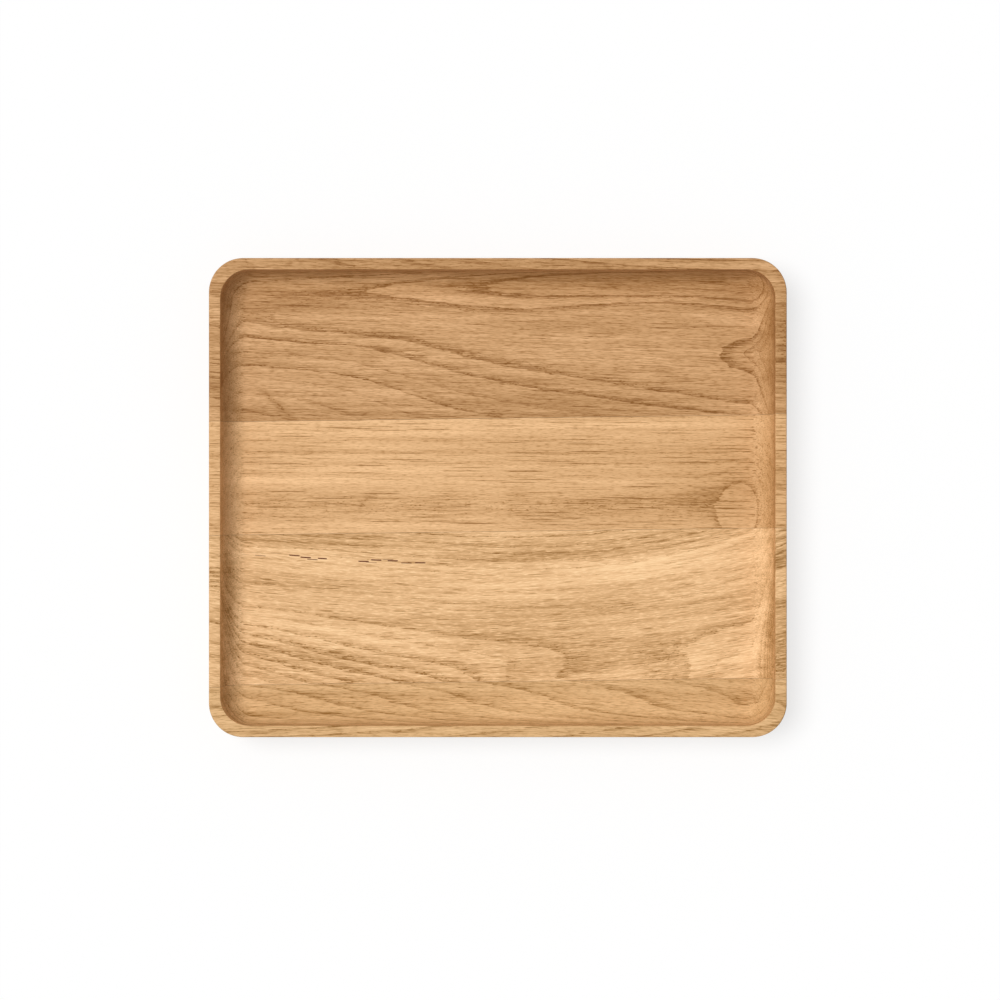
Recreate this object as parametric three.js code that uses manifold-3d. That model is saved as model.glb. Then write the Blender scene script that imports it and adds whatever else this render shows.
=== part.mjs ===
// A catchall tray in solid oak. Four staves are glued edge to edge into a panel, the panel is cut to
// a rounded rectangle, and a shallow pocket with coved sides is routed into it. The glue-up lies a
// little askew, so each joint crosses the tray at a slight angle. Four stick-on pads carry the tray.
//
// Millimetres, +Z up. The origin is on the table under the middle of the tray, +X runs along the
// grain and +Y points to the rear edge.
import * as THREE from 'three';
import { mergeVertices } from 'three/addons/utils/BufferGeometryUtils.js';
import Module from 'manifold-3d';

// The board
const TRAY_LENGTH = 240;
const TRAY_WIDTH = 199;
const BOARD_THICKNESS = 20;
const OUTER_CORNER_RADIUS = 14.2;
const OUTER_EASING = 0.6;

// The pocket, as the round-nosed cutter leaves it
const RIM_WIDTH = 4.8;
const POCKET_DEPTH = 13;
const COVE_RADIUS = 9.5;
const FLOOR_CORNER_RADIUS = 2.5;
const RIM_EASING = 0.3;

// The glue-up, measured square to the joints from the middle of the tray
const JOINT_SKEW_DEGREES = 0.75;
const REAR_JOINT_OFFSET = 33.3;
const CENTRE_REAR_STAVE_WIDTH = 47.5;
const CENTRE_FRONT_STAVE_WIDTH = 63;
const GLUE_THICKNESS = 0.1;
const GLUE_CLEARANCE = 0.02;

// The pads
const PAD_RADIUS = 5;
const PAD_THICKNESS = 1.5;
const PAD_EASING = 0.8;
const PAD_INSET = 15;

// How finely curves are cut
const CORNER_STEPS = 20;
const COVE_STEPS = 14;
const EASING_STEPS = 3;
const PAD_STEPS = 40;

// Tools reach this far past the wood that they cut
const OVERCUT = 10;

const BOARD_BOTTOM = PAD_THICKNESS;
const BOARD_TOP = BOARD_BOTTOM + BOARD_THICKNESS;
const FLOOR_LEVEL = BOARD_TOP - POCKET_DEPTH;
const POCKET_LENGTH = TRAY_LENGTH - 2 * RIM_WIDTH;
const POCKET_WIDTH = TRAY_WIDTH - 2 * RIM_WIDTH;
const POCKET_CORNER_RADIUS = FLOOR_CORNER_RADIUS + COVE_RADIUS;

const wasm = await Module();
wasm.setup();

/** Turns a closed geometry into a solid that can be cut and joined. */
function toSolid(geometry) {
  const bare = geometry.clone();
  bare.deleteAttribute('normal');
  bare.deleteAttribute('uv');
  const merged = mergeVertices(bare, 1e-4);
  return new wasm.Manifold(
    new wasm.Mesh({
      numProp: 3,
      vertProperties: new Float32Array(merged.attributes.position.array),
      triVerts: new Uint32Array(merged.index.array),
    }),
  );
}

/** Turns a solid back into a geometry, with flat faces. */
function toGeometry(solid) {
  const { vertProperties, triVerts } = solid.getMesh();
  const shared = new THREE.BufferGeometry();
  shared.setAttribute('position', new THREE.BufferAttribute(vertProperties, 3));
  shared.setIndex(new THREE.BufferAttribute(triVerts, 1));
  const geometry = shared.toNonIndexed();
  geometry.computeVertexNormals();
  return geometry;
}

/** A named mesh in one material. */
function part(name, geometry, material) {
  const mesh = new THREE.Mesh(geometry, material);
  mesh.name = name;
  return mesh;
}

/** Part of a circle in the plane of a profile, as [inset, level] points. */
function arc(inset, level, radius, fromDegrees, toDegrees, steps) {
  return Array.from({ length: steps + 1 }, (_, i) => {
    const angle = THREE.MathUtils.degToRad(THREE.MathUtils.lerp(fromDegrees, toDegrees, i / steps));
    return [inset + radius * Math.cos(angle), level + radius * Math.sin(angle)];
  });
}

/** The outline of a rounded rectangle about the origin, anticlockwise, at one level. */
function roundedRectangle(length, width, radius, level) {
  const points = [];
  const corners = [[1, 1], [-1, 1], [-1, -1], [1, -1]];
  corners.forEach(([sideX, sideY], quarter) => {
    const centreX = sideX * (length / 2 - radius);
    const centreY = sideY * (width / 2 - radius);
    for (let step = 0; step <= CORNER_STEPS; step += 1) {
      const angle = (quarter + step / CORNER_STEPS) * (Math.PI / 2);
      points.push([centreX + radius * Math.cos(angle), centreY + radius * Math.sin(angle), level]);
    }
  });
  return points;
}

/**
 * A closed solid made by carrying a profile round a rounded rectangle, as a shaped cutter does.
 * The profile runs from the bottom up, and each of its points is an inset from the outline and a level.
 */
function carryProfile(length, width, radius, profile) {
  const rings = profile.map(([inset, level]) =>
    roundedRectangle(length - 2 * inset, width - 2 * inset, radius - inset, level));
  const count = rings[0].length;
  const top = rings.length - 1;
  const positions = [...rings.flat(), [0, 0, profile[0][1]], [0, 0, profile[top][1]]];
  const bottomCentre = rings.length * count;
  const topCentre = bottomCentre + 1;
  const indices = [];
  for (let i = 0; i < count; i += 1) {
    const next = (i + 1) % count;
    for (let ring = 0; ring < top; ring += 1) {
      const low = ring * count;
      const high = low + count;
      indices.push(low + i, low + next, high + next);
      indices.push(low + i, high + next, high + i);
    }
    indices.push(bottomCentre, next, i);
    indices.push(topCentre, top * count + i, top * count + next);
  }
  const geometry = new THREE.BufferGeometry();
  geometry.setAttribute('position', new THREE.Float32BufferAttribute(positions.flat(), 3));
  geometry.setIndex(indices);
  return geometry;
}

/** The glued panel cut to its outline, with its top and bottom edges eased. */
function board() {
  const profile = [
    ...arc(OUTER_EASING, BOARD_BOTTOM + OUTER_EASING, OUTER_EASING, 270, 180, EASING_STEPS),
    ...arc(OUTER_EASING, BOARD_TOP - OUTER_EASING, OUTER_EASING, 180, 90, EASING_STEPS),
  ];
  return carryProfile(TRAY_LENGTH, TRAY_WIDTH, OUTER_CORNER_RADIUS, profile);
}

/** What the cutter takes out: a flat floor, a quarter-round cove, an upright wall and an eased rim. */
function pocket() {
  const profile = [
    ...arc(COVE_RADIUS, FLOOR_LEVEL + COVE_RADIUS, COVE_RADIUS, 270, 180, COVE_STEPS),
    ...arc(-RIM_EASING, BOARD_TOP - RIM_EASING, RIM_EASING, 0, 90, EASING_STEPS),
    [-RIM_EASING, BOARD_TOP + OVERCUT],
  ];
  return carryProfile(POCKET_LENGTH, POCKET_WIDTH, POCKET_CORNER_RADIUS, profile);
}

/** A block between two lines across the panel, turned with the glue-up. */
function band(frontOffset, rearOffset) {
  const block = new THREE.BoxGeometry(
    TRAY_LENGTH + TRAY_WIDTH,
    rearOffset - frontOffset,
    BOARD_THICKNESS + 2 * OVERCUT,
  );
  block.translate(0, (frontOffset + rearOffset) / 2, BOARD_BOTTOM + BOARD_THICKNESS / 2);
  block.rotateZ(THREE.MathUtils.degToRad(JOINT_SKEW_DEGREES));
  return block;
}

/** A stick-on pad: a low disc whose lower edge is rounded. */
function pad() {
  const rounding = arc(PAD_RADIUS - PAD_EASING, PAD_EASING, PAD_EASING, -90, 0, EASING_STEPS);
  const profile = [[0, 0], ...rounding, [PAD_RADIUS, PAD_THICKNESS], [0, PAD_THICKNESS]];
  const disc = new THREE.LatheGeometry(profile.map(([r, z]) => new THREE.Vector2(r, z)), PAD_STEPS);
  disc.rotateX(Math.PI / 2);
  return disc;
}

const oakPale = new THREE.MeshStandardMaterial({ color: '#dab380', roughness: 0.62, metalness: 0 });
const oakWarm = new THREE.MeshStandardMaterial({ color: '#d4a776', roughness: 0.62, metalness: 0 });
const oakDark = new THREE.MeshStandardMaterial({ color: '#c1945f', roughness: 0.62, metalness: 0 });
const driedGlue = new THREE.MeshStandardMaterial({ color: '#b98f5a', roughness: 0.5, metalness: 0 });
const silicone = new THREE.MeshStandardMaterial({ color: '#8b8882', roughness: 0.55, metalness: 0 });

const tray = new THREE.Group();
const routedBoard = toSolid(board()).subtract(toSolid(pocket()));

// Joints from the rear edge to the front one, as offsets square to the glue lines
const rearJoint = REAR_JOINT_OFFSET;
const centreJoint = rearJoint - CENTRE_REAR_STAVE_WIDTH;
const frontJoint = centreJoint - CENTRE_FRONT_STAVE_WIDTH;
const beyondEdge = TRAY_LENGTH / 2 + TRAY_WIDTH / 2;
const jointGap = GLUE_THICKNESS / 2 + GLUE_CLEARANCE;

const staves = [
  ['stave_rear', rearJoint + jointGap, beyondEdge, oakDark],
  ['stave_centre_rear', centreJoint + jointGap, rearJoint - jointGap, oakWarm],
  ['stave_centre_front', frontJoint + jointGap, centreJoint - jointGap, oakPale],
  ['stave_front', -beyondEdge, frontJoint - jointGap, oakWarm],
];
for (const [name, front, rear, oak] of staves) {
  tray.add(part(name, toGeometry(routedBoard.intersect(toSolid(band(front, rear)))), oak));
}

const glueLines = [
  ['glue_line_rear', rearJoint],
  ['glue_line_centre', centreJoint],
  ['glue_line_front', frontJoint],
];
for (const [name, joint] of glueLines) {
  const film = toSolid(band(joint - GLUE_THICKNESS / 2, joint + GLUE_THICKNESS / 2));
  tray.add(part(name, toGeometry(routedBoard.intersect(film)), driedGlue));
}

for (const [row, sideY] of [['rear', 1], ['front', -1]]) {
  for (const [column, sideX] of [['left', -1], ['right', 1]]) {
    const foot = part(`pad_${row}_${column}`, pad(), silicone);
    foot.position.set(
      sideX * (TRAY_LENGTH / 2 - PAD_INSET),
      sideY * (TRAY_WIDTH / 2 - PAD_INSET),
      0,
    );
    tray.add(foot);
  }
}

export default tray;
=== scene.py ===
"""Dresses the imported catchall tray: a solid oak board with one coved pocket, on four stick-on pads.

The CAD model is the fixed frame. A finer surface, worked out with numpy, stands for each of its
pieces and has the finish of its real material. Each stave carries the growth rings of its own log.
Sizes are in millimetres in the frame of the CAD model, and become metres where a mesh is made.
"""

import logging
import math
from dataclasses import dataclass
from enum import Enum

import bmesh
import bpy
import numpy as np
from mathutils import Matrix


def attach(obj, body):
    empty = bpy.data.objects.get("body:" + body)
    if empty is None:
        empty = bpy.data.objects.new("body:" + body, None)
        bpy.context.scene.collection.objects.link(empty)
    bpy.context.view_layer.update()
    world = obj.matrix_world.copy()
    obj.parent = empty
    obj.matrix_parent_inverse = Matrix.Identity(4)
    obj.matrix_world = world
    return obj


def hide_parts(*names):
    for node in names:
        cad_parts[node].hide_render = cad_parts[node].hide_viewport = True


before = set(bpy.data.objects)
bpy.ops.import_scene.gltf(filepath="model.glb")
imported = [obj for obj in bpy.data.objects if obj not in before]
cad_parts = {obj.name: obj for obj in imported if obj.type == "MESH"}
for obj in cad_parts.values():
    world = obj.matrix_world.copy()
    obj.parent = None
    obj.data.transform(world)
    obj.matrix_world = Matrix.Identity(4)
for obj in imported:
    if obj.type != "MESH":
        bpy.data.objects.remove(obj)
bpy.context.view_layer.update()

LOG = logging.getLogger("catchall_tray")
MM = 0.001
BODY = "root"

# Faces that meet at more than this angle keep a crisp edge
SHARP_EDGE = math.radians(35)

# In metres: points nearer than this are one, and points this near to a saw line lie on it
WELD = 0.001 * MM
SAW_SLACK = 1e-8

# A ramp is kept in 255 steps, so each year takes a whole number of them
RAMP_STEPS = 255
STEPS_PER_YEAR = 8

# A ramp holds nothing over one, so a year's width is kept there as a share of this many millimetres
WIDEST_RING = 10.0

# Where a noise pattern and a tone have their middle
MIDDLE = 0.5


def linear(code: str) -> tuple[float, float, float, float]:
    """Turns an sRGB hex colour into the linear one that a shader takes.

    Args:
        code: The colour as six hex digits after a hash mark.

    Returns:
        Red, green, blue and alpha, all but alpha linear.
    """
    shares = (int(code[i:i + 2], 16) / 255 for i in (1, 3, 5))
    return (*(c / 12.92 if c <= 0.04045 else ((c + 0.055) / 1.055) ** 2.4 for c in shares), 1.0)


def grey(shade: float) -> tuple[float, float, float, float]:
    """A linear grey, as a colour."""
    return (shade, shade, shade, 1.0)


class Graph:
    """The nodes of one material or world, with one way to add a node."""

    def __init__(self, owner: bpy.types.ID) -> None:
        """Empties the owner's node tree.

        Args:
            owner: The material or world that the nodes belong to.
        """
        owner.use_nodes = True
        self.tree = owner.node_tree
        self.tree.nodes.clear()

    def add(self, kind: str, *sources: object, **settings: object) -> bpy.types.Node:
        """Adds a node, makes its settings and links what feeds it.

        Args:
            kind: The node's type, without the ShaderNode in front.
            sources: What feeds the node's inputs in order: a number, a vector, a colour, a node for
                its first output, a socket, or None to leave the input as it is.
            settings: The node's properties, a ramp's stops, or its inputs by name, with underscores
                for spaces.

        Returns:
            The new node.
        """
        node = self.tree.nodes.new("ShaderNode" + kind)
        named = {}
        for key, value in settings.items():
            if key == "stops":
                ramp = node.color_ramp
                while len(ramp.elements) < len(value):
                    ramp.elements.new(1.0)
                for element, (place, colour) in zip(ramp.elements, value):
                    element.position, element.color = place, colour
            elif hasattr(node, key):
                setattr(node, key, value)
            else:
                named[key.replace("_", " ")] = value
        open_inputs = [socket for socket in node.inputs if socket.enabled]
        by_name = {socket.name: socket for socket in reversed(open_inputs)}
        pairs = list(zip(open_inputs, sources)) + [(by_name[key], value) for key, value in named.items()]
        for socket, source in pairs:
            if isinstance(source, bpy.types.Node):
                source = next(out for out in source.outputs if out.enabled)
            if isinstance(source, bpy.types.NodeSocket):
                self.tree.links.new(source, socket)
            elif source is not None:
                socket.default_value = source
        return node

    def mix_in(self, tone: bpy.types.Node | float, source: bpy.types.Node | bpy.types.NodeSocket,
               share: float, middle: float = 0.0) -> bpy.types.Node:
        """Adds a share of a source to a tone, so that the source changes nothing at its middle.

        Args:
            tone: What the share is added to.
            source: What is added.
            share: How much of it.
            middle: The value of the source that leaves the tone alone.

        Returns:
            The new tone.
        """
        moved = self.add("Math", source, share, -share * middle, operation="MULTIPLY_ADD")
        return self.add("Math", moved, tone)


class Side(Enum):
    """On which side of the board the heart of the log lay."""

    ABOVE = -1.0
    BELOW = 1.0


class Fade(Enum):
    """The side of a year line on which its dark pores thin out."""

    OUTWARDS = "outwards"
    INWARDS = "inwards"


@dataclass(frozen=True)
class Swell:
    """A place where the trunk was thicker: the rings move out by `rise` there and fade back around it."""

    x: float
    y: float
    length: float
    width: float
    rise: float

    def at(self, x: np.ndarray, y: np.ndarray) -> np.ndarray:
        """How far the rings move out at each point, as rise * exp(-(dx/length)^2 - (dy/width)^2)."""
        return self.rise * np.exp(-((x - self.x) / self.length) ** 2 - ((y - self.y) / self.width) ** 2)


@dataclass(frozen=True)
class Stain:
    """A patch of paler or browner wood: a soft ellipse that is turned by some degrees from the grain."""

    x: float
    y: float
    length: float
    width: float
    tone: float
    degrees: float = 0.0

    def at(self, x: np.ndarray, y: np.ndarray) -> np.ndarray:
        """The change of tone at each point, as tone * exp(-(along/length)^2 - (across/width)^2).

        Args:
            x: The points' places along the tray.
            y: Their places across it.

        Returns:
            What is added to the tone at each point.
        """
        turn_by = math.radians(self.degrees)
        along = (x - self.x) * math.cos(turn_by) + (y - self.y) * math.sin(turn_by)
        across = (y - self.y) * math.cos(turn_by) - (x - self.x) * math.sin(turn_by)
        return self.tone * np.exp(-(along / self.length) ** 2 - (across / self.width) ** 2)


@dataclass(frozen=True)
class Year:
    """One year's growth: the radius at which it begins, how pale its wood is, and how dark its line."""

    start: float
    tone: float
    line: float


@dataclass(frozen=True)
class Trunk:
    """The log that a stave was sawn from: where its heart ran past the board, and its growth rings.

    `heart` and `depth` are polynomials in x / 100 mm: the heart's y, and how far it lay from the pocket's
    floor. `grain` is the drift and the bow of the fibres, in the same way. `years` are those that the
    pocket shows. Years of their own seeded strength, about `ring_width` wide, carry on before and after.
    """

    heart: tuple[float, ...]
    depth: tuple[float, ...]
    side: Side
    fade: Fade
    years: tuple[Year, ...]
    ring_width: float
    seed: int
    grain: tuple[float, float] = (0.0, 0.0)
    swells: tuple[Swell, ...] = ()
    stains: tuple[Stain, ...] = ()
    unseen: int = 8

    def place(self, points: np.ndarray) -> np.ndarray:
        """Places points among the fibres: x, y less drift * (x / 100) + bow * (x / 100)^2, and z.

        Args:
            points: N by 3 points in millimetres.

        Returns:
            N by 3 places, as millimetres along the fibres, across them and up.
        """
        x, y, z = points.T
        drift, bow = self.grain
        return np.stack((x, y - drift * x / 100 - bow * (x / 100) ** 2, z), axis=1)

    def calendar(self) -> tuple[Year, ...]:
        """Puts the seeded years before and after those that the pocket shows.

        Returns:
            The years from the heart to the bark.
        """
        draw = np.random.default_rng(self.seed)
        widths = self.ring_width * draw.uniform(0.75, 1.25, (2, self.unseen))
        tones = draw.normal(0.0, 0.05, (2, self.unseen))
        lines = draw.uniform(0.3, 1.0, (2, self.unseen))
        inner = self.years[0].start - np.cumsum(widths[0])[::-1]
        outer = self.years[-1].start + np.cumsum(widths[1])
        before, after = ([Year(*map(float, values)) for values in zip(starts, tones[k], lines[k])]
                         for k, starts in enumerate((inner, outer)))
        return (*before, *self.years, *after)

    def count(self, points: np.ndarray, floor: float) -> np.ndarray:
        """The growth ring at each point: whole numbers are where a year begins.

        The radius is the hypotenuse of y less the heart's y and the heart's depth more or less the height
        over the floor. The swells are added to it, and the calendar is read along it. Where the lines
        fade inwards, the years are counted from the bark.

        Args:
            points: N by 3 points in millimetres.
            floor: The level of the pocket's floor.

        Returns:
            N ring numbers.
        """
        x, y, z = points.T
        heart, depth = (np.polyval(terms[::-1], x / 100) for terms in (self.heart, self.depth))
        radius = np.hypot(y - heart, depth + self.side.value * (z - floor))
        for swell in self.swells:
            radius = radius + swell.at(x, y)
        starts = [year.start for year in self.calendar()]
        counted = np.interp(radius, starts, np.arange(len(starts)))
        return counted if self.fade is Fade.OUTWARDS else len(starts) - counted

    def stained(self, points: np.ndarray) -> np.ndarray:
        """The sum of the stains at each point."""
        return sum((stain.at(points[:, 0], points[:, 1]) for stain in self.stains), np.zeros(len(points)))


class Grain:
    """The place among the fibres, in the nodes of one material, and the patterns that read it."""

    def __init__(self, g: Graph, seed: float) -> None:
        """Fetches the `log` attribute that a stave carries.

        Args:
            g: The material's nodes.
            seed: What sets this stave's patterns apart from those of the others.
        """
        self.g = g
        self.log = g.add("Attribute", attribute_name="log").outputs["Vector"]
        self.shift = (seed, seed * 1.7, seed * 0.6)

    def along(self, size: tuple[float, float]) -> bpy.types.Node:
        """The place counted in grains of a length and a width in millimetres."""
        length, width = size
        return self.g.add("VectorMath", self.log, (1 / length, 1 / width, 1 / width), self.shift,
                          operation="MULTIPLY_ADD")

    def noise(self, size: tuple[float, float], detail: float, roughness: float) -> bpy.types.Node:
        """Soft grains of a length and a width in millimetres."""
        return self.g.add("TexNoise", self.along(size), Scale=1.0, Detail=detail, Roughness=roughness)

    def leaning(self, size: tuple[float, float]) -> bpy.types.Node:
        """Counts the place in box-shaped grains whose rows lean over, so that they don't stand in columns.

        Args:
            size: The length and the width of a grain in millimetres.

        Returns:
            A pattern with the distance from the middle of the nearest grain, and a colour for each grain.
        """
        length, width = size
        lengthways = self.g.add("VectorMath", self.log, (1 / length, 0.6, 0.45), operation="DOT_PRODUCT")
        crossways = self.g.add("SeparateXYZ", self.along((1.0, width))).outputs
        place = self.g.add("CombineXYZ", lengthways, crossways["Y"], crossways["Z"])
        return self.g.add("TexVoronoi", place, Scale=1.0, Randomness=1.0, distance="CHEBYCHEV")


@dataclass(frozen=True)
class YearMarks:
    """What the calendar gives over the surface: a shade, and a line that thins out at three speeds."""

    shade: bpy.types.Node
    early: bpy.types.Node
    spring: bpy.types.Node
    summer: bpy.types.Node


@dataclass(frozen=True)
class DarkPores:
    """A row of wide, nearly black pores along one thread of the wood: where it lies across and along.

    The row is solid over a share of its reach. A pore takes up the middle of a cell of this size, and a
    share of the cells stay closed.
    """

    across: float
    reach: float
    begins: float
    ends: float
    solid: float = 0.6
    size: tuple[float, float] = (7.0, 0.8)
    pore: float = 0.34
    soft_edge: float = 0.06
    closed: float = 0.25
    colour: str = "#5a2400"

    def over(self, grain: Grain, colour: bpy.types.Node) -> bpy.types.NodeSocket:
        """Lays the row over a colour.

        Args:
            grain: The place among the fibres.
            colour: The wood's colour.

        Returns:
            The new colour.
        """
        g = grain.g
        place = g.add("SeparateXYZ", grain.log).outputs
        off = g.add("Math", place["Y"], self.across, operation="SUBTRACT")
        off = g.add("Math", off, operation="ABSOLUTE")
        near = g.add("MapRange", off, self.reach, self.reach * self.solid, 0.0, 1.0)
        begun = g.add("Math", place["X"], self.begins, operation="GREATER_THAN")
        unended = g.add("Math", place["X"], self.ends, operation="LESS_THAN")
        inside = g.add("Math", begun, unended, operation="MULTIPLY")
        inside = g.add("Math", inside, near, operation="MULTIPLY")
        length, width = self.size
        counted = g.add("VectorMath", grain.log, (1 / length, 1 / width, 1 / width), operation="MULTIPLY")
        cells = g.add("TexVoronoi", counted, Scale=1.0, Randomness=1.0, distance="CHEBYCHEV")
        hole = g.add("MapRange", cells.outputs["Distance"], self.pore, self.pore - self.soft_edge, 0.0, 1.0)
        draw = g.add("SeparateColor", cells.outputs["Color"])
        chosen = g.add("Math", draw, self.closed, operation="GREATER_THAN")
        hole = g.add("Math", hole, chosen, operation="MULTIPLY")
        hole = g.add("Math", hole, inside, operation="MULTIPLY")
        return g.add("Mix", hole, data_type="RGBA", A=colour, B=linear(self.colour)).outputs["Result"]


@dataclass(frozen=True)
class Oak:
    """Flat-sawn oak, glued up, routed, sanded and oiled to a matt, open-pored surface.

    The eye gets soft brown year lines, fine fibre threads along the board, short dark pores that stand
    close together where each year begins, and broad clouds of paler and browner wood.

    The pairs of sizes are the lengths and widths of the grains in millimetres. Real fibres are finer
    than these and are drawn as coarse as they need to be to show on a whole tray. Most numbers after
    them say how strongly a kind of mark shows.
    """

    name: str
    slot: str
    tones: tuple[str, ...]
    seed: float
    vessel: tuple[float, float]
    thread: tuple[float, float] = (11.0, 0.28)
    dash: tuple[float, float] = (3.0, 0.28)
    bundle: tuple[float, float] = (80.0, 2.6)
    cloud: tuple[float, float] = (120.0, 14.0)
    waver: tuple[float, float] = (16.0, 1.8)
    pore: tuple[float, float] = (2.2, 0.75)
    tip: tuple[float, float] = (0.5, 0.5)
    line_width: float = 0.6
    line_start: float = 0.04
    pore_band: float = 1.0
    threads: float = 1.1
    dashes: float = 0.40
    vessels: float = 0.40
    bundles: float = 0.60
    clouds: float = 0.50
    wavering: float = 0.35
    line: float = 0.34
    pores: float = 0.34
    pore_reach: float = 0.34
    pore_start: float = 0.06
    pore_edge: float = 0.12
    flecks: float = 0.0
    full_stain: float = -0.25
    tips: float = 0.90
    end_grain: float = 0.16
    end_fading: float = 0.6
    summer_brown: float = 0.5
    relief: float = 0.03
    roughness: float = 0.62
    pore_roughness: float = 0.12
    ior: float = 1.5
    gloss: float = 0.2
    dark_pores: DarkPores | None = None

    def material(self, trunk: Trunk) -> bpy.types.Material:
        """Builds the finish from the `log`, `years` and `stain` attributes that a stave carries.

        Args:
            trunk: The log, whose calendar gives each year's tone and line.

        Returns:
            The material.
        """
        material = bpy.data.materials.new(self.name)
        g = Graph(material)
        grain = Grain(g, self.seed)
        stain = g.add("Attribute", attribute_name="stain").outputs["Fac"]
        threads = grain.noise(self.thread, 3.0, 0.75)
        marks = self.year_marks(grain, trunk)
        pore = self.pore_holes(grain, marks, stain)

        # Where fibres are cut across, only their tips show, and the marks that lie along them don't
        normal = g.add("SeparateXYZ", g.add("NewGeometry").outputs["Normal"])
        across = g.add("Math", normal, operation="ABSOLUTE")
        lengthwise = g.add("Math", across, -self.end_fading, 1.0, operation="MULTIPLY_ADD")
        fibres = g.add("Math", self.fibres(grain, threads, marks, pore), lengthwise, operation="MULTIPLY")

        # A year line is drawn by threads, half as dark again in a brown one and faint in a pale one
        torn = g.add("MapRange", threads, 0.35, 0.65, 1.5, 0.3)
        line = g.mix_in(marks.early, marks.summer, self.summer_brown)
        line = g.add("Math", line, torn, operation="MULTIPLY")
        line = g.add("Math", line, lengthwise, operation="MULTIPLY")

        # End grain drinks more oil. Its tips are 0.2 mm across, and drawn at 0.5 mm to show
        drunk = g.add("Math", across, 4.0, operation="POWER")
        tips = g.mix_in(0.0, grain.noise(self.tip, 1.0, 0.6), self.tips, MIDDLE)
        tips = g.add("Math", tips, across, operation="MULTIPLY")

        tone = g.mix_in(MIDDLE, fibres, 1.0)
        tone = g.mix_in(tone, grain.noise(self.bundle, 2.0, 0.55), self.bundles, MIDDLE)
        tone = g.mix_in(tone, grain.noise(self.cloud, 1.0, 0.5), self.clouds, MIDDLE)
        tone = g.mix_in(tone, marks.shade, 1.0, MIDDLE)
        tone = g.mix_in(tone, stain, 1.0)
        tone = g.mix_in(tone, line, -self.line, 0.2)
        tone = g.mix_in(tone, drunk, -self.end_grain)
        tone = g.mix_in(tone, tips, 1.0)
        last = len(self.tones) - 1
        colour = g.add("ValToRGB", tone, stops=[(k / last, linear(c)) for k, c in enumerate(self.tones)])
        if self.dark_pores:
            colour = self.dark_pores.over(grain, colour)

        # The oil lies in the wood and not on it, so the gloss is weaker than that of a coat
        height = g.add("Math", fibres, self.relief, operation="MULTIPLY")
        bump = g.add("Bump", Strength=1.0, Distance=MM, Height=height)
        rough = g.add("Math", pore, self.pore_roughness, self.roughness, operation="MULTIPLY_ADD")
        shader = g.add("BsdfPrincipled", Base_Color=colour, Roughness=rough, Normal=bump, IOR=self.ior,
                       Specular_IOR_Level=self.gloss)
        g.add("OutputMaterial", shader)
        return material

    def year_marks(self, grain: Grain, trunk: Trunk) -> YearMarks:
        """Reads the calendar at each point, along year lines that waver a little.

        One ramp holds each year's line and how wide the year is, and another one its shade, which turns
        softly from year to year. The line is thickest where the year begins: its dark early wood is
        `line_width` thick, its band of pores `pore_band`, and its brown fades all through the year. It
        sets in over the first `line_start` of the year.

        Args:
            grain: The place among the fibres.
            trunk: The log.

        Returns:
            The marks.
        """
        g = grain.g
        years = g.add("Attribute", attribute_name="years").outputs["Fac"]
        wavy = g.mix_in(years, grain.noise(self.waver, 2.0, 0.65), self.wavering, MIDDLE)
        calendar = trunk.calendar()
        edges = [year.start for year in calendar] + [calendar[-1].start + trunk.ring_width]
        widths = [(end - start) / WIDEST_RING for start, end in zip(edges, edges[1:])]
        order = list(zip(calendar, widths))[::1 if trunk.fade is Fade.OUTWARDS else -1]

        # A page opens half a step early, so that the rounding puts no line into the year before
        a_year, half_step = STEPS_PER_YEAR / RAMP_STEPS, 0.5 / RAMP_STEPS
        pages = [(max(0.0, k * a_year - half_step), (year.line, width, 0.0, 1.0))
                 for k, (year, width) in enumerate(order)]
        shades = [((k + 0.5) * a_year, grey(MIDDLE + year.tone)) for k, (year, _) in enumerate(order)]
        date = g.add("Math", wavy, a_year, operation="MULTIPLY")
        page = g.add("ValToRGB", date, stops=pages)
        page.color_ramp.interpolation = "CONSTANT"
        strength, width, _ = g.add("SeparateColor", page).outputs
        shade = g.add("SeparateColor", g.add("ValToRGB", date, stops=shades))

        since = g.add("Math", wavy, operation="FRACT")
        grown = g.add("Math", since, width, operation="MULTIPLY")
        grown = g.add("Math", grown, WIDEST_RING, operation="MULTIPLY")
        onset = g.add("MapRange", since, 0.0, self.line_start, 0.0, strength,
                      interpolation_type="SMOOTHSTEP")
        lines = []
        for passed, until in ((grown, self.line_width), (grown, self.pore_band), (since, 1.0)):
            fading = g.add("MapRange", passed, 0.0, until, 1.0, 0.0, interpolation_type="SMOOTHERSTEP")
            lines.append(g.add("Math", fading, onset, operation="MULTIPLY"))
        return YearMarks(shade, *lines)

    def pore_holes(self, grain: Grain, marks: YearMarks, stain: bpy.types.NodeSocket) -> bpy.types.Node:
        """Opens one pore in each cell of the wood, but only where a year begins or in a brown stain.

        Args:
            grain: The place among the fibres.
            marks: The year marks.
            stain: How much paler or browner the wood is.

        Returns:
            One in a pore and zero beside it.
        """
        g = grain.g
        cells = g.add("TexVoronoi", grain.along(self.pore), Scale=1.0, Randomness=1.0)
        browned = g.add("MapRange", stain, 0.0, self.full_stain, 0.0, self.flecks)
        crowd = g.add("Math", marks.spring, browned, operation="MAXIMUM")
        reach = g.add("Math", crowd, self.pore_reach, -self.pore_start, operation="MULTIPLY_ADD")
        edge = g.add("Math", reach, self.pore_edge)
        return g.add("MapRange", cells.outputs["Distance"], edge, reach, 0.0, 1.0,
                     interpolation_type="SMOOTHSTEP")

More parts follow.
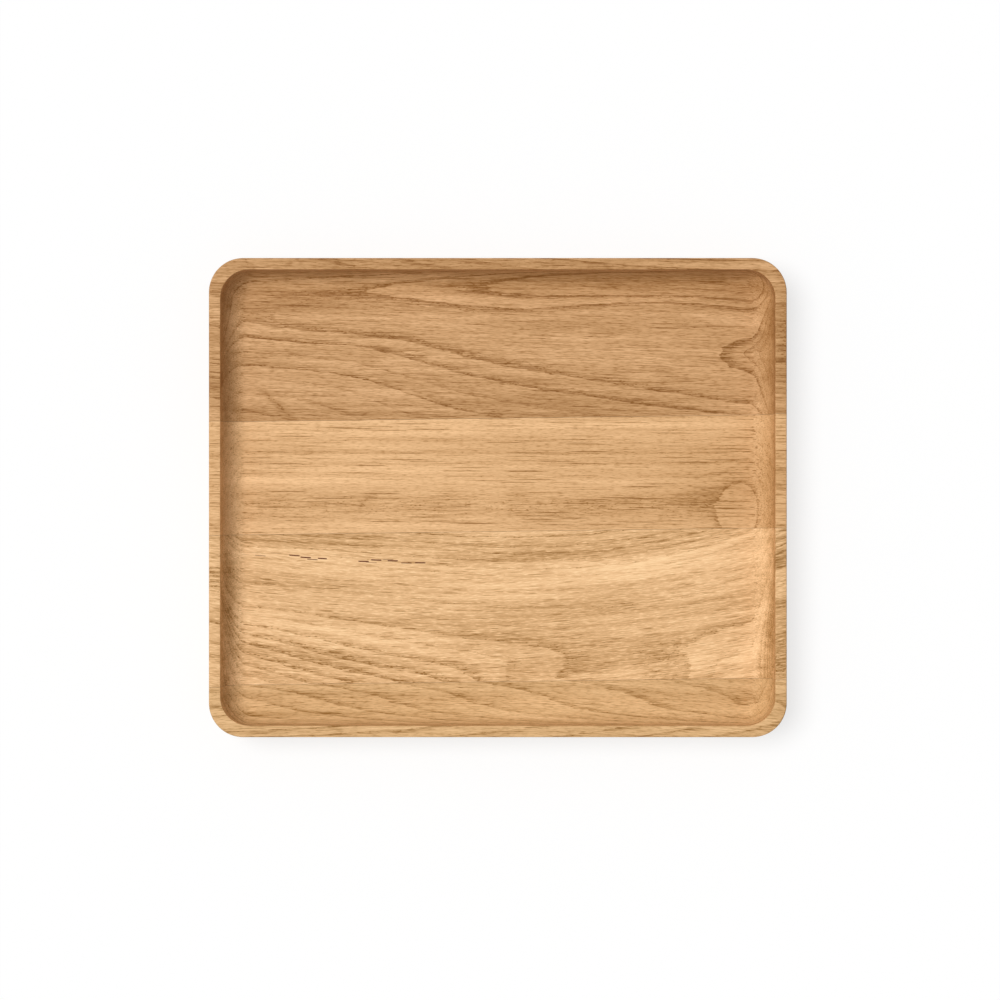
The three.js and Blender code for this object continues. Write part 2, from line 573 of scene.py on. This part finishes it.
    def fibres(self, grain: Grain, threads: bpy.types.Node, marks: YearMarks,
               pore: bpy.types.Node) -> bpy.types.Node:
        """Adds up the marks that lie along the fibres: threads, dashes, vessels and pores.

        Vessels cut lengthwise show as crisp brown lines about 0.35 mm thick and half as long as their
        cells, some of them faint. The threads are quieter in the late wood of a year.

        Args:
            grain: The place among the fibres.
            threads: The finest fibres.
            marks: The year marks.
            pore: The pores.

        Returns:
            The marks, more than zero where the wood is pale and raised.
        """
        g = grain.g

        # Only the crests of this noise are dashes
        dashes = g.add("MapRange", grain.noise(self.dash, 1.0, 0.6), 0.45, 0.75, 0.0, 1.0,
                       interpolation_type="SMOOTHSTEP")

        # A vessel takes up the middle of its cell, and the cell's own shade says how brown it is
        cells = grain.leaning(self.vessel).outputs
        sharp = g.add("MapRange", cells["Distance"], 0.32, 0.24, 0.0, 1.0)
        brown = g.add("MapRange", g.add("SeparateColor", cells["Color"]), 0.2, 1.0, 0.0, 1.0)
        vessels = g.add("Math", sharp, brown, operation="MULTIPLY")

        # Each mark is counted from about its mean, so that it leaves the stave's tone as a whole alone
        loud = g.add("MapRange", marks.summer, 0.0, 1.0, 0.8, 1.3)
        total = g.add("Math", g.mix_in(0.0, threads, self.threads, MIDDLE), loud, operation="MULTIPLY")
        total = g.mix_in(total, dashes, -self.dashes, 0.25)
        total = g.mix_in(total, vessels, -self.vessels, 0.12)
        return g.mix_in(total, pore, -self.pores, 0.1)


@dataclass(frozen=True)
class DriedGlue:
    """Wood glue that dried between two staves and was sanded flush: a thin film, browner than the wood."""

    pale: str = "#a87f4f"
    brown: str = "#8f6a3e"
    blotch: float = 11.0
    roughness: float = 0.5
    ior: float = 1.5

    def material(self) -> bpy.types.Material:
        """Builds the finish: an even brown, a little blotched along the joint.

        Returns:
            The material.
        """
        material = bpy.data.materials.new("dried_wood_glue")
        g = Graph(material)
        place = g.add("TexCoord").outputs["Object"]
        blotch = g.add("TexNoise", place, Scale=1 / (self.blotch * MM), Detail=2.0)
        colour = g.add("Mix", blotch, data_type="RGBA", A=linear(self.brown), B=linear(self.pale))
        shader = g.add("BsdfPrincipled", Base_Color=colour.outputs["Result"], Roughness=self.roughness,
                       IOR=self.ior)
        g.add("OutputMaterial", shader)
        return material


@dataclass(frozen=True)
class Silicone:
    """Moulded grey silicone with a fine matt skin, which takes a soft light and no mirror image.

    The pits of the real skin are about 0.05 mm across. They are drawn at 0.3 mm, as coarse as they need
    to be to show.
    """

    pale: str = "#8b8882"
    dusty: str = "#7f7c76"
    pit: float = 0.3
    pit_depth: float = 0.05
    smudge: float = 3.0
    roughness: float = 0.55
    ior: float = 1.41

    def material(self) -> bpy.types.Material:
        """Builds the finish: an even grey, a little dusty, with a skin of fine pits.

        Returns:
            The material.
        """
        material = bpy.data.materials.new("moulded_silicone")
        g = Graph(material)
        place = g.add("TexCoord").outputs["Object"]
        skin = g.add("TexNoise", place, Scale=1 / (self.pit * MM), Detail=2.0)
        dust = g.add("TexNoise", place, Scale=1 / (self.smudge * MM), Detail=2.0)
        colour = g.add("Mix", dust, data_type="RGBA", A=linear(self.dusty), B=linear(self.pale))
        bump = g.add("Bump", Strength=0.5, Distance=self.pit_depth * MM, Height=skin)
        shader = g.add("BsdfPrincipled", Base_Color=colour.outputs["Result"], Roughness=self.roughness,
                       IOR=self.ior, Normal=bump)
        g.add("OutputMaterial", shader)
        return material


def quads(rows: int, columns: int, first: int, closed: bool) -> np.ndarray:
    """The faces of a grid of points that are numbered row by row.

    Args:
        rows: How many rows of points there are.
        columns: How many points a row has.
        first: The number of the first point.
        closed: Whether each row joins its last point to its first.

    Returns:
        F by 4 point numbers.
    """
    numbers = first + np.arange(rows * columns).reshape(rows, columns)
    if closed:
        numbers = np.concatenate((numbers, numbers[:, :1]), axis=1)
    corners = (numbers[:-1, :-1], numbers[:-1, 1:], numbers[1:, 1:], numbers[1:, :-1])
    return np.stack([c.ravel() for c in corners], axis=1)


def turn(centre: tuple[float, float], radius: float, start: float, stop: float, steps: int) -> np.ndarray:
    """Part of a circle in the plane of a profile, as inset and level.

    Args:
        centre: The circle's inset and level.
        radius: Its radius.
        start: The first angle in degrees.
        stop: The last angle in degrees.
        steps: How many pieces it is cut into.

    Returns:
        Steps + 1 by 2 points.
    """
    angle = np.radians(np.linspace(start, stop, steps + 1))
    return np.stack((centre[0] + radius * np.cos(angle), centre[1] + radius * np.sin(angle)), axis=1)


def upright(start: float, stop: float, rows: int) -> np.ndarray:
    """Points at no inset, evenly spaced between two levels and without either."""
    return np.stack((np.zeros(rows), np.linspace(start, stop, rows + 2)[1:-1]), axis=1)


def make_object(name: str, mesh: bpy.types.Mesh, material: bpy.types.Material) -> bpy.types.Object:
    """Puts a finished mesh in the scene as a piece of the tray.

    Args:
        name: The CAD node that the piece stands for.
        mesh: Its mesh, in metres, in place.
        material: Its finish.

    Returns:
        The piece, which rides on the tray's one body.
    """
    mesh.shade_smooth()
    mesh.set_sharp_from_angle(angle=SHARP_EDGE)
    mesh.materials.append(material)
    piece = bpy.data.objects.new(f"{name}_dressed", mesh)
    bpy.context.scene.collection.objects.link(piece)
    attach(piece, BODY)
    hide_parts(name)
    LOG.info("%s: %d faces", piece.name, len(mesh.polygons))
    return piece


@dataclass(frozen=True)
class RoutedBoard:
    """The oak panel, cut to its outline and routed, as one closed surface that is sawn at the joints."""

    length: float = 240.0
    width: float = 199.0
    bottom: float = 1.5
    top: float = 21.5
    outer_corner: float = 14.2
    outer_easing: float = 0.6
    rim: float = 4.8
    floor: float = 8.5
    cove: float = 9.5
    floor_corner: float = 2.5
    rim_easing: float = 0.3
    skew: float = 0.75
    spacing: float = 1.0
    corner_steps: int = 16
    cove_steps: int = 18
    easing_steps: int = 5
    wall_rows: int = 3
    rim_rows: int = 4
    side_rows: int = 15

    def levels(self) -> np.ndarray:
        """The profile from the pocket's floor over the rim and down to the underside.

        Each row is half a length, half a width, a corner radius and a level. An inset takes the same
        amount off the first three.

        Returns:
            M by 4 rows.
        """
        half_length, half_width = self.length / 2, self.width / 2
        pocket = np.array((half_length - self.rim, half_width - self.rim, self.floor_corner + self.cove))
        outer = np.array((half_length, half_width, self.outer_corner))
        cove_top = self.floor + self.cove
        rim_curve = self.top - self.rim_easing
        outer_curve = self.top - self.outer_easing
        foot_curve = self.bottom + self.outer_easing
        inside = np.concatenate((
            turn((self.cove, cove_top), self.cove, 270, 180, self.cove_steps),
            upright(cove_top, rim_curve, self.wall_rows),
            turn((-self.rim_easing, rim_curve), self.rim_easing, 0, 90, self.easing_steps - 1),
        ))
        outside = np.concatenate((
            turn((self.outer_easing, outer_curve), self.outer_easing, 90, 180, self.easing_steps),
            upright(outer_curve, foot_curve, self.side_rows),
            turn((self.outer_easing, foot_curve), self.outer_easing, 180, 270, self.easing_steps),
        ))
        inner, outer = (np.column_stack((base - profile[:, :1], profile[:, 1]))
                        for base, profile in ((pocket, inside), (outer, outside)))
        share = np.linspace(0, 1, self.rim_rows + 2)[1:-1, None]
        return np.concatenate((inner, inner[-1] * (1 - share) + outer[0] * share, outer))

    def surface(self) -> bmesh.types.BMesh:
        """The whole board as one closed surface.

        A rounded rectangle is (side_x * (half_length - r) + r * cos, side_y * (half_width - r) + r * sin).
        Its rows are level with points on the corner arcs and the ends, so that the floor and the
        underside are grids, and the profile is carried round the rim of such a grid.

        Returns:
            The surface, in metres, with its faces outwards.
        """
        levels = self.levels()
        columns = np.linspace(-1, 1, int(self.length / self.spacing) + 1)
        straight = np.linspace(-1, 1, int((self.width - 2 * self.outer_corner) / self.spacing) + 1)
        arc = np.linspace(0, np.pi / 2, self.corner_steps + 1)
        side = np.concatenate((-np.ones(self.corner_steps), straight, np.ones(self.corner_steps)))
        angle = np.concatenate((arc[:-1] - np.pi / 2, np.zeros(len(straight)), arc[1:]))
        last_column, last_row = len(columns) - 1, len(side) - 1
        row = np.concatenate((np.zeros(last_column), np.arange(last_row), np.full(last_column, last_row),
                              np.arange(last_row, 0, -1))).astype(int)
        column = np.concatenate((np.arange(last_column), np.full(last_row, last_column),
                                 np.arange(last_column, 0, -1), np.zeros(last_row))).astype(int)

        def place(level: np.ndarray, j: np.ndarray, i: np.ndarray) -> np.ndarray:
            """Places points on one level of the board.

            Args:
                level: Half a length, half a width, a corner radius and a height.
                j: The points' rows.
                i: The points' columns.

            Returns:
                The points.
            """
            half_length, half_width, radius, z = level
            x = columns[i] * (half_length - radius + radius * np.cos(angle[j]))
            y = side[j] * (half_width - radius) + radius * np.sin(angle[j])
            return np.stack((x, y, np.full(x.shape, z)), axis=-1)

        grid = np.meshgrid(np.arange(len(side)), np.arange(len(columns)), indexing="ij")
        floor, underside = (place(level, *grid).reshape(-1, 3) for level in (levels[0], levels[-1]))
        rings = np.concatenate([place(level, row, column) for level in levels])
        points = np.concatenate((floor, underside, rings)) * MM
        faces = np.concatenate((
            quads(len(side), len(columns), 0, False),
            quads(len(side), len(columns), len(floor), False)[:, ::-1],
            quads(len(levels), len(row), len(floor) * 2, True),
        ))
        mesh = bpy.data.meshes.new("routed_board")
        mesh.from_pydata(points.tolist(), [], faces.tolist())
        surface = bmesh.new()
        surface.from_mesh(mesh)
        bpy.data.meshes.remove(mesh)
        bmesh.ops.remove_doubles(surface, verts=surface.verts, dist=WELD)
        bmesh.ops.recalc_face_normals(surface, faces=surface.faces)
        return surface

    def between(self, surface: bmesh.types.BMesh, front: float, rear: float, name: str) -> bpy.types.Mesh:
        """Saws out the part of the board between two lines, which lie askew with the glue-up.

        Args:
            surface: The whole board.
            front: The offset of the front cut, square to the joints, or minus infinity for none.
            rear: The offset of the rear cut, or infinity for none.
            name: What the mesh is called.

        Returns:
            The mesh, with each cut closed.
        """
        part = surface.copy()
        angle = math.radians(self.skew)
        square = np.array((-math.sin(angle), math.cos(angle), 0.0))
        for offset, keep_rear in ((front, True), (rear, False)):
            if math.isinf(offset):
                continue
            everything = [*part.verts, *part.edges, *part.faces]
            bmesh.ops.bisect_plane(part, geom=everything, dist=SAW_SLACK, plane_co=square * offset * MM,
                                   plane_no=square, clear_inner=keep_rear, clear_outer=not keep_rear)
            cut = [edge for edge in part.edges if edge.is_boundary]
            bmesh.ops.triangle_fill(part, edges=cut, use_beauty=True)
        bmesh.ops.recalc_face_normals(part, faces=part.faces)
        mesh = bpy.data.meshes.new(name)
        part.to_mesh(mesh)
        part.free()
        return mesh


@dataclass(frozen=True)
class Stave:
    """One stave: the CAD node it stands for, its edges square to the joints, its log and its finish."""

    node: str
    front: float
    rear: float
    trunk: Trunk
    oak: Oak

    def build(self, board: RoutedBoard, surface: bmesh.types.BMesh) -> bpy.types.Object:
        """Saws the stave out of the board and writes its log's coordinates and rings on its points.

        Args:
            board: The board's sizes.
            surface: The whole board's surface.

        Returns:
            The dressed stave.
        """
        mesh = board.between(surface, self.front, self.rear, self.node)
        points = np.empty(len(mesh.vertices) * 3, np.float32)
        mesh.vertices.foreach_get("co", points)
        points = points.reshape(-1, 3).astype(float) / MM
        place = self.trunk.place(points)
        mesh.attributes.new("log", "FLOAT_VECTOR", "POINT").data.foreach_set("vector", place.ravel())
        read = {"years": self.trunk.count(points, board.floor), "stain": self.trunk.stained(points)}
        for name, values in read.items():
            mesh.attributes.new(name, "FLOAT", "POINT").data.foreach_set("value", values)
        return make_object(self.node, mesh, self.oak.material(self.trunk))


# This log's heart and depth, the rises of its first four swells and about half of its years' starts are
# the rounded output of a least-squares fit to grain lines. Its other values were set one by one.
REAR_TRUNK = Trunk(
    heart=(67.0, -15.3, 5.3), depth=(63.0, 0.0, -1.3), side=Side.ABOVE, fade=Fade.INWARDS,
    years=(
        Year(56.0, -0.08, 0.5), Year(58.5, -0.04, 0.4), Year(60.2, -0.03, 1.0), Year(61.5, 0.0, 0.1),
        Year(63.0, 0.0, 0.9), Year(64.1, -0.02, 1.0), Year(65.8, -0.06, 0.5), Year(68.5, -0.08, 1.0),
        Year(71.5, 0.05, 0.4), Year(75.0, 0.02, 0.5), Year(79.0, 0.02, 0.6),
    ),
    ring_width=3.2, seed=11, grain=(-2.0, 0.0),
    swells=(
        Swell(-75, 44, 42, 14, 4.0), Swell(-95, 85, 50, 12, 1.6), Swell(70, 78, 45, 10, -2.9),
        Swell(-60, 62, 35, 8, 1.0), Swell(115, 60.5, 16, 5.5, -2.5),
    ),
    stains=(
        Stain(0, 98, 200, 4, -0.10), Stain(119, 65, 3.5, 25, -0.22), Stain(-83, 82, 15, 3, -0.12),
        Stain(-54, 79.5, 20, 1.8, -0.14), Stain(-93, 39.5, 10, 1.0, -0.34, -40), Stain(40, 60, 40, 6, 0.10),
        Stain(84, 72.5, 22, 2.0, -0.16, -5), Stain(99, 84, 12, 2.2, -0.16), Stain(103, 78, 7, 1.2, -0.16),
    ),
)
REAR_OAK = Oak(
    "oiled_oak_rear", "oak_dark", ("#875826", "#a57544", "#ba8c5b", "#d0a170", "#eabb8a"), seed=3.1,
    vessel=(20.0, 0.62), vessels=0.42, line=0.30, line_width=0.8, flecks=1.0,
)

CENTRE_REAR_TRUNK = Trunk(
    heart=(-4.0,), depth=(46.0,), side=Side.BELOW, fade=Fade.OUTWARDS,
    years=(
        Year(38.0, 0.0, 0.4), Year(40.8, 0.0, 0.0), Year(45.6, 0.0, 0.9), Year(47.6, 0.0, 0.4),
        Year(49.2, 0.02, 0.5), Year(51.0, 0.0, 0.5), Year(53.6, 0.0, 0.5), Year(56.0, 0.02, 0.5),
    ),
    ring_width=2.8, seed=12,
    swells=(Swell(101.5, -13, 7.3, 22, -3.0),),
    stains=(
        Stain(0, 30, 95, 3.5, 0.12), Stain(-22, 2.4, 4, 2, -0.15), Stain(-30, -2.2, 5, 1.6, -0.12),
        Stain(8.5, 2, 5, 3.5, -0.18, 20), Stain(86, -0.2, 8, 3.5, -0.14), Stain(-54, 0, 8, 1.6, -0.14, 40),
        Stain(25, -6, 60, 8, -0.03), Stain(98, 5, 24, 20, -0.13), Stain(-60, 10, 75, 30, 0.11),
    ),
)
CENTRE_REAR_OAK = Oak(
    "oiled_oak_centre_rear", "oak_warm", ("#936430", "#b68753", "#d1a26f", "#e2b481", "#f9ca96"), seed=7.7,
    vessel=(26.0, 0.62), threads=0.7, vessels=0.6, bundles=0.45, clouds=0.35, line=0.24, line_width=1.0,
)

# This log's heart and depth, the rises of its four swells and about half of its years' starts are the
# rounded output of such a fit too. Its other values were set one by one.
CENTRE_FRONT_TRUNK = Trunk(
    heart=(-93.7, 5.9, 7.2, 6.2), depth=(119.5, 4.9, -1.9), side=Side.ABOVE, fade=Fade.OUTWARDS,
    years=(
        Year(115.8, -0.03, 0.6), Year(116.9, -0.03, 0.8), Year(118.0, -0.05, 1.0), Year(119.1, -0.03, 1.0),
        Year(120.1, 0.0, 1.0), Year(121.3, 0.09, 0.9), Year(122.8, 0.13, 0.5), Year(124.1, 0.0, 0.7),
        Year(126.0, -0.01, 0.2), Year(128.5, 0.02, 0.5), Year(131.0, 0.04, 0.2), Year(134.0, 0.10, 0.4),
        Year(135.4, 0.0, 0.6), Year(136.9, -0.05, 0.6), Year(138.4, -0.08, 0.6), Year(139.9, -0.08, 0.6),
    ),
    ring_width=1.8, seed=13, grain=(3.5, 6.3),
    swells=(
        Swell(12, -78, 22, 8, 2.1), Swell(-80, -70, 60, 14, 1.3), Swell(48, -75, 22, 10, 3.2),
        Swell(78, -74, 10, 10, 1.5),
    ),
    stains=(
        Stain(119, -45, 6, 30, -0.13), Stain(-112.5, -45, 2.5, 32, -0.25), Stain(-10, -17, 90, 4, -0.05),
        Stain(30, -30, 45, 2.2, 0.16, 4), Stain(-40, -22, 60, 7, 0.05), Stain(82, -22, 32, 1.8, 0.15, 14),
        Stain(97, -28, 20, 1.5, 0.12, 17), Stain(104, -66, 4, 12, 0.10, -20),
        Stain(90, -38, 22, 2.5, 0.08, 14), Stain(28, -71, 26, 7, -0.13), Stain(66, -66, 10, 8, -0.07),
        Stain(-10, -28, 80, 14, 0.05), Stain(100, -48, 16, 22, -0.10),
    ),
)
CENTRE_FRONT_OAK = Oak(
    "oiled_oak_centre_front", "oak_pale", ("#936630", "#ba8d59", "#daad7a", "#f3c693", "#ffd8a5"), seed=12.4,
    vessel=(9.0, 0.62), threads=1.0, dashes=-0.35, vessels=0.36, line=0.20, line_width=1.1,
    dark_pores=DarkPores(-26.4, 1.0, -110.0, -28.0),
)

FRONT_TRUNK = Trunk(
    heart=(-89.0, 0.0, 0.0), depth=(24.0, 8.0, 0.0), side=Side.ABOVE, fade=Fade.OUTWARDS,
    years=(
        Year(13.5, 0.0, 0.5), Year(16.3, 0.02, 0.6), Year(18.5, 0.0, 0.6), Year(20.6, 0.0, 0.6),
        Year(23.3, -0.02, 0.5), Year(26.0, 0.02, 0.6), Year(29.0, 0.0, 0.6), Year(32.0, 0.0, 0.5),
        Year(35.0, 0.0, 0.5),
    ),
    ring_width=2.6, seed=14, grain=(-3.0, -3.0),
    stains=(Stain(0, -98, 200, 4, -0.08), Stain(119, -88, 4, 10, -0.08)),
)
FRONT_OAK = Oak(
    "oiled_oak_front", "oak_warm", ("#8f632d", "#b28752", "#cca16e", "#dfb480", "#f3c895"), seed=17.9,
    vessel=(14.0, 0.62), threads=1.0, vessels=0.36, line=0.42, line_width=0.9,
)


@dataclass(frozen=True)
class GlueUp:
    """The four staves and the three glue films between them."""

    joints: tuple[float, float, float] = (33.3, -14.2, -77.2)
    film: float = 0.1
    clearance: float = 0.02

    def staves(self) -> tuple[Stave, ...]:
        """Lays out the staves from the rear edge to the front one.

        Returns:
            The four staves.
        """
        rear, centre, front = self.joints
        gap = self.film / 2 + self.clearance
        return (
            Stave("stave_rear", rear + gap, math.inf, REAR_TRUNK, REAR_OAK),
            Stave("stave_centre_rear", centre + gap, rear - gap, CENTRE_REAR_TRUNK, CENTRE_REAR_OAK),
            Stave("stave_centre_front", front + gap, centre - gap, CENTRE_FRONT_TRUNK, CENTRE_FRONT_OAK),
            Stave("stave_front", -math.inf, front - gap, FRONT_TRUNK, FRONT_OAK),
        )

    def build(self, board: RoutedBoard) -> None:
        """Builds every stave and film out of the one board.

        Args:
            board: The board's sizes.
        """
        surface = board.surface()
        for stave in self.staves():
            stave.build(board, surface)
        glue = DriedGlue().material()
        for node, joint in zip(("glue_line_rear", "glue_line_centre", "glue_line_front"), self.joints):
            mesh = board.between(surface, joint - self.film / 2, joint + self.film / 2, node)
            make_object(node, mesh, glue)
        surface.free()


@dataclass(frozen=True)
class StickOnPads:
    """Four low silicone discs with a rounded lower edge, stuck under the corners.

    Each flat face is closed by a small disc of radius `centre` and has a ring of points at `middle`.
    """

    radius: float = 5.0
    thickness: float = 1.5
    easing: float = 0.8
    inset: float = 15.0
    middle: float = 2.0
    centre: float = 0.02
    steps: int = 96
    easing_steps: int = 8

    def build(self, board: RoutedBoard) -> None:
        """Turns one profile round an axis under each corner: (r * cos t, r * sin t, z).

        Args:
            board: The board that the pads carry.
        """
        silicone = Silicone().material()
        rounding = turn((self.radius - self.easing, self.easing), self.easing, -90, 0, self.easing_steps)
        inner = (self.centre, self.middle)
        radii = np.concatenate((inner, rounding[:, 0], (self.radius,), inner[::-1]))
        heights = np.concatenate(((0.0, 0.0), rounding[:, 1], (self.thickness,) * 3))
        angle = np.linspace(0, 2 * np.pi, self.steps, endpoint=False)
        shape = np.stack((np.outer(radii, np.cos(angle)), np.outer(radii, np.sin(angle)),
                          np.repeat(heights[:, None], self.steps, axis=1)), axis=-1)
        faces = quads(len(radii), self.steps, 0, True).tolist()
        last = (len(radii) - 1) * self.steps
        ends = [list(range(self.steps))[::-1], list(range(last, last + self.steps))]
        reach_x, reach_y = board.length / 2 - self.inset, board.width / 2 - self.inset
        for row, side_y in (("rear", 1), ("front", -1)):
            for column, side_x in (("left", -1), ("right", 1)):
                points = (shape + (side_x * reach_x, side_y * reach_y, 0.0)).reshape(-1, 3) * MM
                name = f"pad_{row}_{column}"
                mesh = bpy.data.meshes.new(name)
                mesh.from_pydata(points.tolist(), [], faces + ends)
                make_object(name, mesh, silicone)


@dataclass(frozen=True)
class Studio:
    """A white table under one large soft lamp at the upper left, seen from straight above."""

    camera_place: tuple[float, float, float] = (0.9, -1.0, 1200.0)
    lens: float = 102.2
    lamp_azimuth: float = 160.0
    lamp_elevation: float = 66.0
    lamp_spread: float = 34.0
    lamp_share: float = 0.62
    table_size: float = 8000.0
    table_shade: float = 0.30
    table_bounce: float = 0.8

    def build(self) -> None:
        """Sets the camera, the lamp, the world and the table."""
        scene = bpy.context.scene
        scene.view_settings.view_transform = "Standard"
        camera = bpy.data.cameras.new("camera")
        camera.lens = self.lens
        eye = bpy.data.objects.new("camera", camera)
        eye.location = [c * MM for c in self.camera_place]
        scene.collection.objects.link(eye)
        scene.camera = eye

        lamp = bpy.data.lights.new("soft_lamp", "SUN")
        lamp.angle = math.radians(self.lamp_spread)
        lamp.energy = self.lamp_share * math.pi / math.sin(math.radians(self.lamp_elevation))
        holder = bpy.data.objects.new("soft_lamp", lamp)
        tipped, turned = math.radians(90 - self.lamp_elevation), math.radians(self.lamp_azimuth)
        holder.rotation_euler = (0.0, tipped, turned)
        scene.collection.objects.link(holder)

        world = bpy.data.worlds.new("studio_air")
        scene.world = world
        air = Graph(world)
        strength = air.add("Math", self.seen(air), self.lamp_share, 1 - self.lamp_share,
                           operation="MULTIPLY_ADD")
        air.add("OutputWorld", air.add("Background", grey(1.0), strength))

        half = self.table_size / 2 * MM
        mesh = bpy.data.meshes.new("table")
        corners = [(-half, -half, 0), (half, -half, 0), (half, half, 0), (-half, half, 0)]
        mesh.from_pydata(corners, [], [(0, 1, 2, 3)])
        mesh.materials.append(self.table_finish())
        table = bpy.data.objects.new("table", mesh)
        scene.collection.objects.link(table)

    def seen(self, g: Graph) -> bpy.types.Node:
        """Tells what is looked at from what is only lit.

        Args:
            g: The nodes of a material or world.

        Returns:
            One for rays from the camera and for those of gloss and glass, zero for the rest.
        """
        path = g.add("LightPath").outputs
        either = g.add("Math", path["Is Camera Ray"], path["Is Glossy Ray"], operation="MAXIMUM")
        return g.add("Math", either, path["Is Transmission Ray"], operation="MAXIMUM")

    def table_finish(self) -> bpy.types.Material:
        """White paper that the camera sees as white, with the tray's shadow kept faint.

        Returns:
            The material.
        """
        material = bpy.data.materials.new("white_table")
        g = Graph(material)
        pale = g.add("BsdfDiffuse", grey(self.table_bounce))
        paper = g.add("AddShader", g.add("BsdfDiffuse", grey(self.table_shade)),
                      g.add("Emission", grey(1 - self.table_shade)))
        g.add("OutputMaterial", g.add("MixShader", self.seen(g), pale, paper))
        return material


def main() -> None:
    """Builds the studio, the staves with their glue films, and the pads."""
    Studio().build()
    board = RoutedBoard()
    GlueUp().build(board)
    StickOnPads().build(board)


if __name__ == "__main__":
    logging.basicConfig(level=logging.INFO)
    main()
